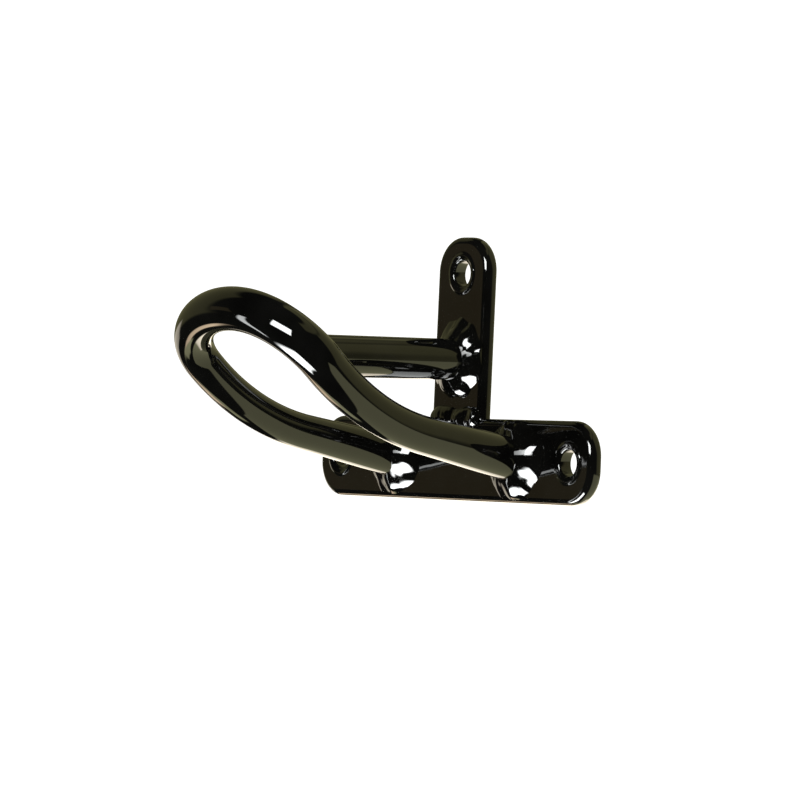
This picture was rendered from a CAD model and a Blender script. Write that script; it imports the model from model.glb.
from math import cos, exp, pi, radians, sin, sqrt, tan

import bmesh
import bpy
from mathutils import Matrix, Vector, noise


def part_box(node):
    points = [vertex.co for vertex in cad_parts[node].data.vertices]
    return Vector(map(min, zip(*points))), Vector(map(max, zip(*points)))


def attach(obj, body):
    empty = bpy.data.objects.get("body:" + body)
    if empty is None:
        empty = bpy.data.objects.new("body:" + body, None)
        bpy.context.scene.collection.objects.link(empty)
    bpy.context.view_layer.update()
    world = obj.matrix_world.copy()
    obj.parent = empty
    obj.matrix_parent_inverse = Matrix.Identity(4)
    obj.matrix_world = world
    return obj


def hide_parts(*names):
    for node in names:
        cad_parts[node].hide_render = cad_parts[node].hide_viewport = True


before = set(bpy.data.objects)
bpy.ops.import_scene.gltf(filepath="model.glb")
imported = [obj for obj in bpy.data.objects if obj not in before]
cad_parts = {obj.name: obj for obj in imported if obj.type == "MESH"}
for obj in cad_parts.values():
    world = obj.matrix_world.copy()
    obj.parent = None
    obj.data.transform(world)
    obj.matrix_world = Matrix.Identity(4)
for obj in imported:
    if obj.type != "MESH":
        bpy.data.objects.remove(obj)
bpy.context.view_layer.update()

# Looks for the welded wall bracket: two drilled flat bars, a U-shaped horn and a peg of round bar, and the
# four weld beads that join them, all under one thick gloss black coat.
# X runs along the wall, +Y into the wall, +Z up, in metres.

# Sizes read from the frame
BASE_LO, BASE_HI = (Vector(corner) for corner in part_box("base_bar"))
UPRIGHT_LO, UPRIGHT_HI = (Vector(corner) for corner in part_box("upright_bar"))
PEG_LO, PEG_HI = (Vector(corner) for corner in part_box("peg_rod"))
BAR_WIDTH = BASE_HI.z - BASE_LO.z
BASE_LENGTH = BASE_HI.x - BASE_LO.x
UPRIGHT_TOP = UPRIGHT_HI.z
FRONT_Y = BASE_LO.y
SEAM_Z = BASE_HI.z
ROD_RADIUS = (PEG_HI.x - PEG_LO.x) / 2
PEG_X = (PEG_HI.x + PEG_LO.x) / 2

# Shape, repeated from the design
HOLE_RADIUS = 0.0040
HOLE_INSET = 0.0113
END_RADIUS = 0.0108
UPRIGHT_OFFSET = 0.0017
UPRIGHT_LEAN = radians(0.8)
HORN_OFFSET = 0.0010
HORN_FOOT_HALF = 0.0308
HORN_BEND_HALF = 0.0318
HORN_LEG = 0.0779
HORN_BEND_DEPTH = 0.0205
HORN_FOOT_Z = 0.0004
HORN_FOOT_PITCH = radians(10.4)
HORN_STRAIGHT = 0.0336
HORN_ROLL_RADIUS = 0.0763
PEG_Z = 0.0307
PEG_DROOP = radians(1.0)

# Softened shapes, which the design leaves plain
EDGE_RADIUS = 0.0019
HOLE_EDGE_RADIUS = 0.0007
BORDER = 0.0003              # flat strip beside each rounded edge, which keeps the face's shading true
COLLAR_WIDTH = 0.0040        # the lip of coat round each hole
COLLAR_HEIGHT = 0.00030
COLLAR_CREST = 0.26          # distance from the hole at which the lip is highest, as a share of its width
COLLAR_LUMPINESS = 0.5
COLLAR_LUMP_SPACING = 0.0034
COLLAR_LUMP_HEIGHT = 0.00012
COLLAR_SEED_RATE = 10        # a lip's seed grows by this for each metre along X
FOOT_SINK = 0.0012           # how far the upright's foot is sunk into the joint, which the weld fills
PEG_END_RADIUS = 0.0013
PEG_END_FACE = 0.55          # a ring on the peg's end face, as a share of its radius

# The bar's thickness where it was worked, as a share of its nominal, at even steps round the horn
HORN_GIRTH = (1.05, 0.91, 1.02, 1.045, 0.91, 0.87, 1.03)

# Fillets round the rods' feet
FILLET_FOOT = 0.0061         # reach from the rod along the bar
FILLET_RISE = 0.0036         # reach out from the bar's face
FILLET_MARGIN = 0.0006       # a fillet stops this far short of the long edges of its bar
FILLET_EDGEWARD = 0.1        # bearings turned less than this towards those edges count as this much
FILLET_LAP = 0.0001          # how deep a fillet's face ends inside its rod
FILLET_WALL = 0.0003         # how deep its hidden inner wall lies inside the rod
FILLET_SEED_SHIFT = 0.5      # how far the seed drifts from a fillet's foot to its top
FAT_SPREAD = radians(40)
RIPPLE_COUNT = 26
RIPPLE_HEIGHT = 0.00001
RIPPLE_CURVE = 2.6           # how far the ripples bow, in radians of their own wave
# seed, lump spacing, lumpiness, fattest bearing round the rod in degrees from +X towards +Z, how much
# fatter there, and roundness: 0 for a flat fillet face, 1 for a quarter round
FILLET_RIGHT = (43.77, 0.0052, 0.13, 10.0, 0.40, 0.5)
FILLET_LEFT = (74.85, 0.0052, 0.18, 10.0, 0.40, 0.3)
FILLET_PEG = (6.03, 0.0052, 0.18, 0.0, 0.0, 0.3)

# The bead across the joint of the bars
SEAM_END_GAP = 0.0004
SEAM_SINK = 0.0002
SEAM_SEED = 7.3
SEAM_SPACING = 0.0046
SEAM_CROWN = 1.05            # mean height, as a share of the design's
SEAM_LUMPINESS = 0.40
SEAM_EDGE_LUMPINESS = 0.18
SEAM_END_WIDTH = 0.3         # width at its ends, as a share of the width between them
SEAM_END_POWER = 8           # an even number, higher for blunter ends
SEAM_RIPPLE_COUNT = 14
SEAM_RIPPLE_CURVE = 0.5      # how far the ripples bow, in ripples
SEAM_RIPPLE_HEIGHT = 0.00002

# Lumps in all the beads
BROAD_LUMP = 1.5
SMALL_LUMP = 0.06
SMALL_LUMP_SPACING = 0.0021
SMALL_LUMP_SEED = 31.0

# Meshes: the least angles that stay sharp, the distances at which points merge, and step counts
SHARP_ANGLE = radians(50)
WELD_SHARP_ANGLE = radians(70)
MERGE_DISTANCE = 1e-7
BAR_MERGE_DISTANCE = 1e-6
ROUND_SIDES = 64
CORNER_STEPS = 24
BAR_END_STEPS = 6
BASE_SIDE_STEPS = 40
UPRIGHT_SIDE_STEPS = 16
UPRIGHT_FOOT_STEPS = 10
EDGE_STEPS = 6
HOLE_STEPS = 96
COLLAR_STEPS = 16
HORN_LEG_STEPS = 64
HORN_BEND_STEPS = 100
PEG_STEPS = 24
PEG_END_STEPS = 8
FILLET_AROUND = 288
FILLET_ACROSS = 24
SEAM_ALONG = 180
SEAM_ACROSS = 20

# The coat. Noises are given by scale in features per metre, detail and, where it isn't 0.5, roughness
COAT_COLOUR = (0.0100, 0.0100, 0.0088)
COAT_IOR = 1.55
TONE_NOISE = (90.0, 3.0)
TONE_RANGE = (0.3, 0.7)      # noise values at which the tone is darkest and lightest
TONE_SPREAD = (0.6, 1.6)     # those tones, as shares of the coat's colour
SMEAR_NOISE = (160.0, 4.0, 0.6)
SMEAR_RANGE = (0.35, 0.75)   # noise values at which the gloss is sharpest and dullest
SMEAR_SPREAD = (0.8, 1.5)    # their roughness, as shares of the coat's own
PEEL_NOISE = (620.0, 1.0)
PEEL_DEPTH = 0.00004
WAVE_DETAIL = 1.0
WAVE_DEPTH = 0.0004
# name, roughness, strengths of the orange peel and of the slow waves, and the waves' scale
ROD_COAT = ("gloss_black_coat", 0.03, 0.0, 0.05, 110.0)
BAR_COAT = ("gloss_black_bar_coat", 0.05, 0.03, 0.12, 120.0)
WELD_COAT = ("gloss_black_weld_coat", 0.06, 0.02, 0.05, 260.0)

# Camera: the photograph's viewing angle, as seen from the bracket's front right
VIEW_AZIMUTH = radians(53.84)
VIEW_ELEVATION = radians(-0.765)
VIEW_ROLL = radians(2.147)
VIEW_DISTANCE = 1.4242
VIEW_FOCUS = Vector((0.0013, -0.030, 0.030))
VIEW_SIDE = 0.00291          # how far the view's middle lies to the right of the focus, and above it
VIEW_RISE = -0.01270
VIEW_LENS_MM = 210.1
SENSOR_MM = 36.0
CLIP_START = 0.05
CLIP_END = 50.0

# Studio: bearings from the bracket's front towards +X and heights above the horizon, in degrees
FLOOR_Z = -0.30
FLOOR_HALF = 12.0
FLOOR_COLOUR = (0.95, 0.95, 0.94)
FLOOR_GLOW = 0.95
SKY_LEVEL = 1.2              # the surround as the camera sees it
FILL_LEVEL = 0.27            # the surround as the coat's faint diffuse colour sees it
ROOM_COLOUR = (0.012, 0.012, 0.010)
WHITE = (0.97, 1.0, 0.99)
OLIVE = (1.0, 0.95, 0.45)
CREAM = (1.0, 0.985, 0.58)
PEACH = (1.0, 0.9, 0.72)
BROWN = (1.0, 0.80, 0.42)
GLOW = (1.0, 0.77, 0.52)
# bearing, height, half width, half height, slant, soft border, level, tint; later cards cover earlier ones
CARDS = (
    (167.5, -50.5, 73.5, 39.5, 0.0, 4.0, 1.10, CREAM),    # pale sheet low behind
    (173.0, 21.0, 47.0, 31.0, 0.0, 7.0, 0.43, OLIVE),     # wall high behind
    (150.0, 62.0, 70.0, 8.0, 0.0, 6.0, 0.40, OLIVE),      # its top edge
    (-97.0, 18.0, 38.0, 30.0, 0.0, 8.0, 0.21, OLIVE),     # wall on the left
    (-52.0, 0.0, 6.0, 5.0, 0.0, 2.0, 0.16, BROWN),        # the same, seen in the flat faces
    (-91.0, -57.0, 12.0, 9.0, 0.0, 5.0, 1.70, CREAM),     # near end of the sheet
    (-97.0, -13.0, 15.0, 10.0, 0.0, 4.0, 1.45, PEACH),    # warm patch seen in the welds
    (-92.5, -41.0, 6.0, 9.0, -0.3, 4.0, 3.60, GLOW),      # warm bright patch seen in the bend
    (-139.0, -30.0, 20.0, 20.0, 0.0, 5.0, 4.6, PEACH),    # bright end of the sheet, seen at glancing angles
    (-50.5, -20.0, 2.4, 12.0, 0.8, 2.0, 7.0, WHITE),      # narrow strip, front left
    (-27.0, -48.0, 30.0, 11.5, -1.1, 5.0, 26.0, WHITE),   # wide softbox, low at the front
    (9.5, 17.0, 14.5, 10.5, 0.45, 2.5, 26.0, WHITE),      # softbox, high at the front
)


# ---------------------------------------------------------------- mesh helpers

def new_object(name, mesh):
    item = bpy.data.objects.new(name, mesh)
    bpy.context.scene.collection.objects.link(item)
    return item


def finish_mesh(mesh, material, sharp):
    mesh.materials.append(material)
    mesh.shade_smooth()
    mesh.set_sharp_from_angle(angle=sharp)


def mesh_object(name, vertices, faces, material, sharp=SHARP_ANGLE):
    mesh = bpy.data.meshes.new(name)
    mesh.from_pydata([tuple(v) for v in vertices], [], faces)
    edit = bmesh.new()
    edit.from_mesh(mesh)
    bmesh.ops.remove_doubles(edit, verts=edit.verts, dist=MERGE_DISTANCE)
    bmesh.ops.recalc_face_normals(edit, faces=edit.faces)
    edit.to_mesh(mesh)
    edit.free()
    finish_mesh(mesh, material, sharp)
    return new_object(name, mesh)


def skin_rings(rings, wrap=False, caps=False):
    """Faces between neighbouring closed rings of equal length, wrapped round or capped at both ends."""
    count = len(rings[0])
    vertices = [v for ring in rings for v in ring]
    faces = []
    last_ring = len(rings) if wrap else len(rings) - 1
    for r in range(last_ring):
        here = r * count
        there = ((r + 1) % len(rings)) * count
        for s in range(count):
            t = (s + 1) % count
            faces.append((here + s, here + t, there + t, there + s))
    if caps:
        faces.append(tuple(range(count)))
        faces.append(tuple(range((len(rings) - 1) * count, len(rings) * count)))
    return vertices, faces


def hide_cad(piece, node):
    """Put a piece on the body in its CAD node's place."""
    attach(piece, "root")
    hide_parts(node)


# ---------------------------------------------------------------- materials

def noise_node(tree, coords, scale, detail, roughness=0.5):
    node = tree.nodes.new("ShaderNodeTexNoise")
    node.inputs["Scale"].default_value = scale
    node.inputs["Detail"].default_value = detail
    node.inputs["Roughness"].default_value = roughness
    tree.links.new(coords, node.inputs["Vector"])
    return node


def ramp_node(tree, value, low, high):
    """A colour ramp between two stops, each a position and a colour."""
    node = tree.nodes.new("ShaderNodeValToRGB")
    for element, stop in zip(node.color_ramp.elements, (low, high)):
        element.position, element.color = stop
    tree.links.new(value, node.inputs["Fac"])
    return node


def bump_node(tree, height, strength, distance, below=None):
    node = tree.nodes.new("ShaderNodeBump")
    node.inputs["Strength"].default_value = strength
    node.inputs["Distance"].default_value = distance
    tree.links.new(height, node.inputs["Height"])
    if below:
        tree.links.new(below, node.inputs["Normal"])
    return node.outputs["Normal"]


def gloss_black(name, roughness, peel, wave, wave_scale):
    """Thick gloss black coat: faint orange peel, slow waves where it flowed, faint smears in the gloss."""
    material = bpy.data.materials.new(name)
    material.use_nodes = True
    tree = material.node_tree
    shader = tree.nodes["Principled BSDF"]
    shader.inputs["IOR"].default_value = COAT_IOR
    coords = tree.nodes.new("ShaderNodeTexCoord").outputs["Object"]

    tone = noise_node(tree, coords, *TONE_NOISE)
    dark, light = ((*(share * c for c in COAT_COLOUR), 1.0) for share in TONE_SPREAD)
    colour = ramp_node(tree, tone.outputs["Fac"], (TONE_RANGE[0], dark), (TONE_RANGE[1], light))
    tree.links.new(colour.outputs["Color"], shader.inputs["Base Color"])

    smear = noise_node(tree, coords, *SMEAR_NOISE)
    gloss = tree.nodes.new("ShaderNodeMapRange")
    gloss.inputs["From Min"].default_value = SMEAR_RANGE[0]
    gloss.inputs["From Max"].default_value = SMEAR_RANGE[1]
    gloss.inputs["To Min"].default_value = roughness * SMEAR_SPREAD[0]
    gloss.inputs["To Max"].default_value = roughness * SMEAR_SPREAD[1]
    tree.links.new(smear.outputs["Fac"], gloss.inputs["Value"])
    tree.links.new(gloss.outputs["Result"], shader.inputs["Roughness"])

    peel_height = noise_node(tree, coords, *PEEL_NOISE).outputs["Fac"]
    wave_height = noise_node(tree, coords, wave_scale, WAVE_DETAIL).outputs["Fac"]
    peeled = bump_node(tree, peel_height, peel, PEEL_DEPTH)
    waved = bump_node(tree, wave_height, wave, WAVE_DEPTH, peeled)
    tree.links.new(waved, shader.inputs["Normal"])
    return material


# ---------------------------------------------------------------- flat bars

def upright_x(z):
    return UPRIGHT_OFFSET + (z - SEAM_Z) * tan(UPRIGHT_LEAN)


def rounded_end(tip_x, tip_z, direction):
    """Points and outward directions round a bar's end, anticlockwise, whose tip faces a given angle."""
    flat = BAR_WIDTH / 2 - END_RADIUS
    ahead = Vector((cos(direction), 0.0, sin(direction)))
    aside = Vector((-ahead.z, 0.0, ahead.x))
    centre = Vector((tip_x, 0.0, tip_z)) - ahead * END_RADIUS
    corners = []
    for number, side in enumerate((-1, 1)):
        corner = []
        for step in range(CORNER_STEPS + 1):
            angle = direction + pi / 2 * (number - 1 + step / CORNER_STEPS)
            outward = Vector((cos(angle), 0.0, sin(angle)))
            corner.append((centre + aside * flat * side + outward * END_RADIUS, outward))
        corners.append(corner)
    return corners[0] + straight_run(corners[0][-1], corners[1][0], BAR_END_STEPS) + corners[1]


def straight_run(start, end, steps, outward=None):
    """Points strictly between two outline points, for an even mesh along a straight edge."""
    return [(start[0].lerp(end[0], step / steps), outward or start[1]) for step in range(1, steps)]


def rim_rings(outline, edge_radius):
    """Rings over a bar's rounded edge, from its front face round to its back face."""
    rings = []
    for side in (-1, 1):
        turns = range(EDGE_STEPS + 1) if side < 0 else range(EDGE_STEPS, -1, -1)
        for turn in turns:
            angle = pi / 2 * turn / EDGE_STEPS
            inset = edge_radius * (1 - sin(angle))
            depth = edge_radius * (1 - cos(angle))
            y = FRONT_Y + depth if side < 0 else -depth
            rings.append([Vector((p.x - n.x * inset, y, p.z - n.z * inset)) for p, n in outline])
    return rings


def flat_region(edit, loops, y):
    """Fill the flat area between an outer loop and hole loops."""
    edges = []
    for loop in loops:
        verts = [edit.verts.new((p.x, y, p.z)) for p in loop]
        for i, vert in enumerate(verts):
            edges.append(edit.edges.new((vert, verts[(i + 1) % len(verts)])))
    bmesh.ops.triangle_fill(edit, use_beauty=True, use_dissolve=False, edges=edges)


def circle_outline(x, z, radius):
    """A hole's edge, whose outward direction points from the metal into the hole."""
    points = []
    for step in range(HOLE_STEPS):
        angle = 2 * pi * step / HOLE_STEPS
        away = Vector((cos(angle), 0.0, sin(angle)))
        points.append((Vector((x, 0.0, z)) + away * radius, -away))
    return points


def hole_collar(points, seed):
    """Rings on a bar's front, from level metal in to a hole: the coat swells into a soft, lumpy collar."""
    rings = []
    for step in range(COLLAR_STEPS + 1):
        away = HOLE_EDGE_RADIUS + COLLAR_WIDTH * (1 - step / COLLAR_STEPS)
        share = (away - HOLE_EDGE_RADIUS) / COLLAR_WIDTH
        fade = sin(pi * min(1.0, 2 * min(share, 1 - share)) / 2) ** 2
        crest = cos(pi / 2 * min(1.0, abs(share - COLLAR_CREST) / COLLAR_CREST)) ** 2
        ring = []
        for p, n in points:
            at = p - n * away
            lump = noise.noise(Vector((at.x / COLLAR_LUMP_SPACING, seed, at.z / COLLAR_LUMP_SPACING)))
            height = COLLAR_HEIGHT * crest * (1 + COLLAR_LUMPINESS * lump)
            height += COLLAR_LUMP_HEIGHT * fade * max(0.0, lump)
            ring.append(Vector((at.x, FRONT_Y - height, at.z)))
        rings.append(ring)
    return rings


def flat_bar(name, node, outline, holes, material):
    """A bar with rolled edges and softened holes, flat inside narrow borders that keep its shading true."""
    edit = bmesh.new()
    front_borders, back_borders = [], []
    loops = [(outline, EDGE_RADIUS, None)]
    loops += [(circle_outline(x, z, HOLE_RADIUS), HOLE_EDGE_RADIUS, COLLAR_SEED_RATE * x) for x, z in holes]
    for points, radius, seed in loops:
        inset = radius + BORDER
        inner = [Vector((p.x - n.x * inset, 0.0, p.z - n.z * inset)) for p, n in points]
        back_borders.append(inner)
        if seed is None:
            collar = []
            front = [Vector((p.x, FRONT_Y, p.z)) for p in inner]
        else:
            collar = hole_collar(points, seed)
            front = collar.pop(0)
        front_borders.append(front)
        vertices, faces = skin_rings([front] + collar + rim_rings(points, radius) + [inner])
        made = [edit.verts.new(v) for v in vertices]
        for face in faces:
            edit.faces.new([made[i] for i in face])
    flat_region(edit, front_borders, FRONT_Y)
    flat_region(edit, back_borders, 0.0)
    bmesh.ops.remove_doubles(edit, verts=edit.verts, dist=BAR_MERGE_DISTANCE)
    bmesh.ops.recalc_face_normals(edit, faces=edit.faces)
    mesh = bpy.data.meshes.new(name)
    edit.to_mesh(mesh)
    edit.free()
    finish_mesh(mesh, material, SHARP_ANGLE)
    hide_cad(new_object(name, mesh), node)


def make_base_bar(material):
    end = BASE_LENGTH / 2
    right = rounded_end(end, 0.0, 0.0)
    left = rounded_end(-end, 0.0, pi)
    outline = right + straight_run(right[-1], left[0], BASE_SIDE_STEPS)
    outline += left + straight_run(left[-1], right[0], BASE_SIDE_STEPS)
    hole_x = end - HOLE_INSET
    flat_bar("base_bar_coated", "base_bar", outline, [(-hole_x, 0.0), (hole_x, 0.0)], material)


def make_upright_bar(material):
    foot_z = UPRIGHT_LO.z - FOOT_SINK
    top = rounded_end(upright_x(UPRIGHT_TOP), UPRIGHT_TOP, pi / 2 - UPRIGHT_LEAN)
    down = Vector((0.0, 0.0, -1.0))
    corners = []
    for side, (_, outward) in ((-1, top[-1]), (1, top[0])):
        foot = Vector((UPRIGHT_OFFSET + side * BAR_WIDTH / 2, 0.0, foot_z))
        corners.append((foot, outward + down))
    left, right = corners
    outline = top + straight_run(top[-1], left, UPRIGHT_SIDE_STEPS) + [left]
    outline += straight_run(left, right, UPRIGHT_FOOT_STEPS, down) + [right]
    outline += straight_run(right, top[0], UPRIGHT_SIDE_STEPS, top[0][1])
    hole_z = UPRIGHT_TOP - HOLE_INSET
    flat_bar("upright_bar_coated", "upright_bar", outline, [(upright_x(hole_z), hole_z)], material)


# ---------------------------------------------------------------- round bars

def rolled(along):
    """Where a point of the flat U comes to lie in the YZ plane, by its distance from the bar's front."""
    straight = min(along, HORN_STRAIGHT)
    pitch = HORN_FOOT_PITCH + max(0.0, along - HORN_STRAIGHT) / HORN_ROLL_RADIUS
    out = straight * cos(HORN_FOOT_PITCH) + HORN_ROLL_RADIUS * (sin(pitch) - sin(HORN_FOOT_PITCH))
    rise = straight * sin(HORN_FOOT_PITCH) + HORN_ROLL_RADIUS * (cos(HORN_FOOT_PITCH) - cos(pitch))
    return Vector((0.0, FRONT_Y - out, HORN_FOOT_Z + rise))


def horn_path():
    """The horn's whole centreline, from the right foot round the bend to the left foot."""
    leg = []
    for step in range(HORN_LEG_STEPS + 1):
        share = sin(pi / 2 * step / HORN_LEG_STEPS)
        half = HORN_FOOT_HALF + (HORN_BEND_HALF - HORN_FOOT_HALF) * share
        leg.append((half, HORN_LEG * step / HORN_LEG_STEPS))
    turns = [pi * step / HORN_BEND_STEPS for step in range(1, HORN_BEND_STEPS)]
    bend = [(HORN_BEND_HALF * cos(turn), HORN_LEG + HORN_BEND_DEPTH * sin(turn)) for turn in turns]
    flat_u = leg + bend + [(-x, along) for x, along in reversed(leg)]
    return [rolled(along) + Vector((HORN_OFFSET + x, 0.0, 0.0)) for x, along in flat_u]


def horn_directions(path):
    """The ways in which the horn leaves its right and left feet."""
    return (path[1] - path[0]).normalized(), (path[-2] - path[-1]).normalized()


def horn_radii(path):
    """The coated bar's radius at each point of the horn, eased between the values in HORN_GIRTH."""
    lengths = [0.0]
    for a, b in zip(path, path[1:]):
        lengths.append(lengths[-1] + (b - a).length)
    last = len(HORN_GIRTH) - 1
    radii = []
    for length in lengths:
        place = last * length / lengths[-1]
        knot = min(int(place), last - 1)
        before, here, there, after = (HORN_GIRTH[min(max(knot + k, 0), last)] for k in (-1, 0, 1, 2))
        t = place - knot
        eased = here + 0.5 * t * (there - before + t * (2 * before - 5 * here + 4 * there - after
                                                        + t * (3 * (here - there) + after - before)))
        radii.append(ROD_RADIUS * eased)
    return radii


def tube_rings(path, radii):
    """Circles along a path, turned as little as possible from one to the next."""
    rings = []
    side = None
    for i, point in enumerate(path):
        ahead = path[min(i + 1, len(path) - 1)] - path[max(i - 1, 0)]
        tangent = ahead.normalized()
        if side is None:
            side = tangent.orthogonal().normalized()
        side = (side - tangent * side.dot(tangent)).normalized()
        other = tangent.cross(side)
        ring = []
        for s in range(ROUND_SIDES):
            angle = 2 * pi * s / ROUND_SIDES
            ring.append(point + (side * cos(angle) + other * sin(angle)) * radii[i])
        rings.append(ring)
    return rings


def flatten_foot(ring, tangent, y):
    """Slide a ring's points along the rod until they lie in a plane parallel to the wall."""
    return [v + tangent * ((y - v.y) / tangent.y) for v in ring]


def make_horn(material):
    path = horn_path()
    rings = tube_rings(path, horn_radii(path))
    right_way, left_way = horn_directions(path)
    right_foot = flatten_foot(rings[0], right_way, FRONT_Y)
    left_foot = flatten_foot(rings[-1], left_way, FRONT_Y)
    # the slanting feet take the place of the second ring from each end as well
    rings = [right_foot] + rings[2:-2] + [left_foot]
    vertices, faces = skin_rings(rings, caps=True)
    hide_cad(mesh_object("horn_coated", vertices, faces, material), "horn_rod")


def peg_direction():
    return Vector((0.0, -cos(PEG_DROOP), -sin(PEG_DROOP)))


def peg_foot():
    return Vector((PEG_X, FRONT_Y, PEG_Z))


def make_peg(material):
    """A straight pin with a softly rounded sawn end."""
    direction = peg_direction()
    length = (FRONT_Y - PEG_LO.y) / cos(PEG_DROOP)
    stations = [(length * i / PEG_STEPS, ROD_RADIUS) for i in range(PEG_STEPS)]
    stations = [s for s in stations if s[0] < length - PEG_END_RADIUS]
    for step in range(PEG_END_STEPS + 1):
        angle = pi / 2 * step / PEG_END_STEPS
        along = length - PEG_END_RADIUS * (1 - sin(angle))
        stations.append((along, ROD_RADIUS - PEG_END_RADIUS * (1 - cos(angle))))
    stations.append((length, ROD_RADIUS * PEG_END_FACE))
    side = Vector((1.0, 0.0, 0.0))
    other = direction.cross(side)
    rings = []
    for along, radius in stations:
        centre = peg_foot() + direction * along
        turns = [2 * pi * s / ROUND_SIDES for s in range(ROUND_SIDES)]
        rings.append([centre + (side * cos(t) + other * sin(t)) * radius for t in turns])
    rings[0] = flatten_foot(rings[0], direction, FRONT_Y)
    vertices, faces = skin_rings(rings, caps=True)
    hide_cad(mesh_object("peg_coated", vertices, faces, material), "peg_rod")


# ---------------------------------------------------------------- welds

def weld_lumps(x, y, spacing, seed):
    """How far a bead swells at a point, from about -1 to 1: broad smooth lumps with faint small ones."""
    broad = noise.noise(Vector((x / spacing, y / spacing, seed)))
    small = noise.noise(Vector((x / SMALL_LUMP_SPACING, y / SMALL_LUMP_SPACING, seed + SMALL_LUMP_SEED)))
    return BROAD_LUMP * broad + SMALL_LUMP * small


def make_fillet(node, foot, direction, material, shape):
    """A fillet laid round a rod's foot: broad smooth lumps, with faint ripples where the puddles set."""
    seed, spacing, lumpiness, fat_turn, fatness, roundness = shape
    rings = []
    for a in range(FILLET_AROUND):
        turn = 2 * pi * a / FILLET_AROUND
        rod_out = Vector((cos(turn), 0.0, sin(turn)))
        from_fat = (turn - radians(fat_turn) + pi) % (2 * pi) - pi
        fat = fatness * exp(-from_fat ** 2 / FAT_SPREAD ** 2)
        edgeward = abs(rod_out.x if node == "weld_peg" else rod_out.z)
        room = (BAR_WIDTH / 2 - FILLET_MARGIN) / max(edgeward, FILLET_EDGEWARD)
        ring = []
        for c in range(FILLET_ACROSS + 1):
            share = c / FILLET_ACROSS
            quarter = pi / 2 * share
            girth = ROD_RADIUS + FILLET_FOOT * (1 - share)
            drifted = seed + FILLET_SEED_SHIFT * share
            lump = weld_lumps(girth * cos(turn), girth * sin(turn), spacing, drifted)
            size = 1.0 + fat + lumpiness * lump
            wave = RIPPLE_COUNT * turn + RIPPLE_CURVE * (2 * share - 1) ** 2
            ripple = RIPPLE_HEIGHT * sin(pi * share) * sin(wave)
            round_foot = roundness * cos(quarter) + (1 - roundness) * (1 - share)
            round_rise = roundness * sin(quarter) + (1 - roundness) * share
            height = FILLET_RISE * size * round_rise + ripple
            reach = min(ROD_RADIUS - FILLET_LAP + (FILLET_FOOT * size * round_foot + ripple), room)
            on_axis = foot + direction * (height / -direction.y)
            x, z = on_axis.x + rod_out.x * reach, on_axis.z + rod_out.z * reach
            ring.append(Vector((x, FRONT_Y - height, z)))
        inner = ROD_RADIUS - FILLET_WALL
        ring.append(Vector((on_axis.x + rod_out.x * inner, ring[-1].y, on_axis.z + rod_out.z * inner)))
        ring.append(Vector((foot.x + rod_out.x * inner, FRONT_Y, foot.z + rod_out.z * inner)))
        rings.append(ring)
    vertices, faces = skin_rings(rings, wrap=True)
    hide_cad(mesh_object(node + "_coated", vertices, faces, material, WELD_SHARP_ANGLE), node)


def make_seam_bead(material):
    """The bead across the joint of the two bars: a row of smooth lumps that dies away at its ends."""
    lo, hi = (Vector(corner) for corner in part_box("weld_upright_front"))
    half_width = (hi.z - lo.z) / 2
    tallest = hi.y - lo.y
    lo.x, hi.x = lo.x + SEAM_END_GAP, hi.x - SEAM_END_GAP
    rings = []
    for a in range(SEAM_ALONG + 1):
        share = a / SEAM_ALONG
        x = lo.x + (hi.x - lo.x) * share
        end = sqrt(max(0.0, 1 - (2 * share - 1) ** SEAM_END_POWER))
        ring = []
        for c in range(SEAM_ACROSS + 1):
            across = -1 + 2 * c / SEAM_ACROSS
            lump = weld_lumps(x, across * half_width, SEAM_SPACING, SEAM_SEED)
            ripple = sin(2 * pi * (SEAM_RIPPLE_COUNT * share + SEAM_RIPPLE_CURVE * across ** 2))
            crown = end * (1 - across ** 2)
            rise = crown * (tallest * (SEAM_CROWN + SEAM_LUMPINESS * lump) + SEAM_RIPPLE_HEIGHT * ripple)
            spread = SEAM_END_WIDTH + (1 - SEAM_END_WIDTH) * end
            z = SEAM_Z + across * half_width * spread * (1 + SEAM_EDGE_LUMPINESS * lump)
            ring.append(Vector((x, FRONT_Y - rise, z)))
        ring.append(Vector((x, FRONT_Y + SEAM_SINK, ring[-1].z)))
        ring.append(Vector((x, FRONT_Y + SEAM_SINK, ring[0].z)))
        rings.append(ring)
    vertices, faces = skin_rings(rings, caps=True)
    piece = mesh_object("weld_upright_front_coated", vertices, faces, material, WELD_SHARP_ANGLE)
    hide_cad(piece, "weld_upright_front")


# ---------------------------------------------------------------- studio

def make_floor():
    """A wide pale floor below the bracket, which the coat's reflections leave out."""
    mesh = bpy.data.meshes.new("studio_floor")
    edit = bmesh.new()
    bmesh.ops.create_grid(edit, x_segments=1, y_segments=1, size=FLOOR_HALF)
    edit.to_mesh(mesh)
    edit.free()
    material = bpy.data.materials.new("pale_floor")
    material.use_nodes = True
    shader = material.node_tree.nodes["Principled BSDF"]
    shader.inputs["Base Color"].default_value = (*FLOOR_COLOUR, 1.0)
    shader.inputs["Roughness"].default_value = 1.0
    shader.inputs["Specular IOR Level"].default_value = 0.0
    shader.inputs["Emission Color"].default_value = (1.0, 1.0, 1.0, 1.0)
    shader.inputs["Emission Strength"].default_value = FLOOR_GLOW
    mesh.materials.append(material)
    floor = new_object("studio_floor", mesh)
    floor.location = (0.0, 0.0, FLOOR_Z)
    floor.visible_glossy = False
    floor.visible_diffuse = False


def math_node(tree, operation, first, second=None):
    """A maths node; either input may be a socket or a number."""
    node = tree.nodes.new("ShaderNodeMath")
    node.operation = operation
    for socket, value in zip(node.inputs, (first, second)):
        if isinstance(value, bpy.types.NodeSocket):
            tree.links.new(value, socket)
        elif value is not None:
            socket.default_value = value
    return node.outputs["Value"]


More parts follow.
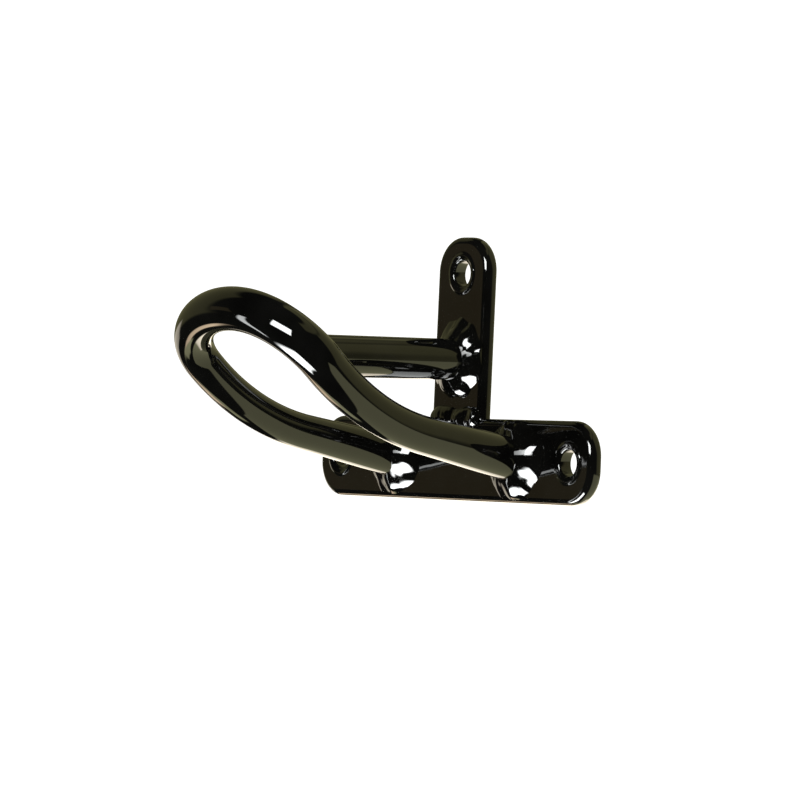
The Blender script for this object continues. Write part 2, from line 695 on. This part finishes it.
def falloff(tree, distance, half, soft):
    """1 inside a half width, 0 outside it, easing over the soft border that straddles its edge."""
    node = tree.nodes.new("ShaderNodeMapRange")
    node.interpolation_type = "SMOOTHSTEP"
    node.inputs["From Min"].default_value = half + soft / 2
    node.inputs["From Max"].default_value = half - soft / 2
    tree.links.new(distance, node.inputs["Value"])
    return node.outputs["Result"]


def dot_with(tree, direction, axis):
    node = tree.nodes.new("ShaderNodeVectorMath")
    node.operation = "DOT_PRODUCT"
    tree.links.new(direction, node.inputs[0])
    node.inputs[1].default_value = axis
    return node.outputs["Value"]


def paint_card(tree, direction, elevation, under, card):
    """Lay a card over the surround: a patch of the sphere bounded by bearings and heights."""
    bearing, height, half_bearing, half_height, slant, soft, level, tint = card
    a = radians(bearing)
    ahead = dot_with(tree, direction, (sin(a), -cos(a), 0.0))
    aside = dot_with(tree, direction, (cos(a), sin(a), 0.0))
    turned = math_node(tree, "ARCTAN2", aside, ahead)
    above = math_node(tree, "SUBTRACT", elevation, radians(height))
    if slant:
        turned = math_node(tree, "SUBTRACT", turned, math_node(tree, "MULTIPLY", above, slant))
    across = falloff(tree, math_node(tree, "ABSOLUTE", turned), radians(half_bearing), radians(soft))
    along = falloff(tree, math_node(tree, "ABSOLUTE", above), radians(half_height), radians(soft))
    mix = tree.nodes.new("ShaderNodeMix")
    mix.data_type = "RGBA"
    tree.links.new(math_node(tree, "MULTIPLY", across, along), mix.inputs["Factor"])
    colours = [socket for socket in mix.inputs if socket.type == "RGBA"]
    tree.links.new(under, colours[0])
    colours[1].default_value = (*(level * c for c in tint), 1.0)
    return [socket for socket in mix.outputs if socket.type == "RGBA"][0]


def make_world():
    """A white surround to the eye; in the coat's gloss, a dark room with softboxes and pale cards."""
    world = bpy.data.worlds.new("studio_surround")
    bpy.context.scene.world = world
    world.use_nodes = True
    world.cycles.sampling_method = "NONE"
    tree = world.node_tree
    direction = tree.nodes.new("ShaderNodeTexCoord").outputs["Generated"]
    elevation = math_node(tree, "ARCSINE", dot_with(tree, direction, (0.0, 0.0, 1.0)))
    room = tree.nodes.new("ShaderNodeRGB").outputs["Color"]
    room.default_value = (*ROOM_COLOUR, 1.0)
    for card in CARDS:
        room = paint_card(tree, direction, elevation, room, card)
    gloss = tree.nodes["Background"]
    tree.links.new(room, gloss.inputs["Color"])
    plain = tree.nodes.new("ShaderNodeBackground")
    plain.inputs["Color"].default_value = (1.0, 1.0, 1.0, 1.0)
    ray = tree.nodes.new("ShaderNodeLightPath").outputs
    level = tree.nodes.new("ShaderNodeMapRange")
    level.inputs["To Min"].default_value = SKY_LEVEL
    level.inputs["To Max"].default_value = FILL_LEVEL
    tree.links.new(ray["Is Diffuse Ray"], level.inputs["Value"])
    tree.links.new(level.outputs["Result"], plain.inputs["Strength"])
    chooser = tree.nodes.new("ShaderNodeMixShader")
    tree.links.new(ray["Is Glossy Ray"], chooser.inputs["Fac"])
    tree.links.new(plain.outputs["Background"], chooser.inputs[1])
    tree.links.new(gloss.outputs["Background"], chooser.inputs[2])
    tree.links.new(chooser.outputs["Shader"], tree.nodes["World Output"].inputs["Surface"])


def view_axes():
    back = Vector((sin(VIEW_AZIMUTH) * cos(VIEW_ELEVATION),
                   -cos(VIEW_AZIMUTH) * cos(VIEW_ELEVATION), sin(VIEW_ELEVATION)))
    level_right = (-back).cross(Vector((0.0, 0.0, 1.0))).normalized()
    level_up = level_right.cross(-back)
    right = level_right * cos(VIEW_ROLL) + level_up * sin(VIEW_ROLL)
    up = level_up * cos(VIEW_ROLL) - level_right * sin(VIEW_ROLL)
    return right, up, back


def make_camera():
    right, up, back = view_axes()
    focus = VIEW_FOCUS + right * VIEW_SIDE + up * VIEW_RISE
    data = bpy.data.cameras.new("photo_view")
    data.sensor_width = SENSOR_MM
    data.lens = VIEW_LENS_MM
    data.clip_start, data.clip_end = CLIP_START, CLIP_END
    camera = bpy.data.objects.new("photo_view", data)
    turn = Matrix((right, up, back)).transposed()
    camera.matrix_world = Matrix.Translation(focus + back * VIEW_DISTANCE) @ turn.to_4x4()
    bpy.context.scene.collection.objects.link(camera)
    bpy.context.scene.camera = camera


def main():
    rod_coat, bar_coat, weld_coat = (gloss_black(*coat) for coat in (ROD_COAT, BAR_COAT, WELD_COAT))
    make_base_bar(bar_coat)
    make_upright_bar(bar_coat)
    make_horn(rod_coat)
    make_peg(rod_coat)
    path = horn_path()
    right_way, left_way = horn_directions(path)
    make_fillet("weld_horn_right", path[0], right_way, weld_coat, FILLET_RIGHT)
    make_fillet("weld_horn_left", path[-1], left_way, weld_coat, FILLET_LEFT)
    make_fillet("weld_peg", peg_foot(), peg_direction(), weld_coat, FILLET_PEG)
    make_seam_bead(weld_coat)
    make_floor()
    make_world()
    make_camera()
    scene = bpy.context.scene
    scene.view_settings.view_transform = "Standard"
    scene.view_settings.look = "None"


main()
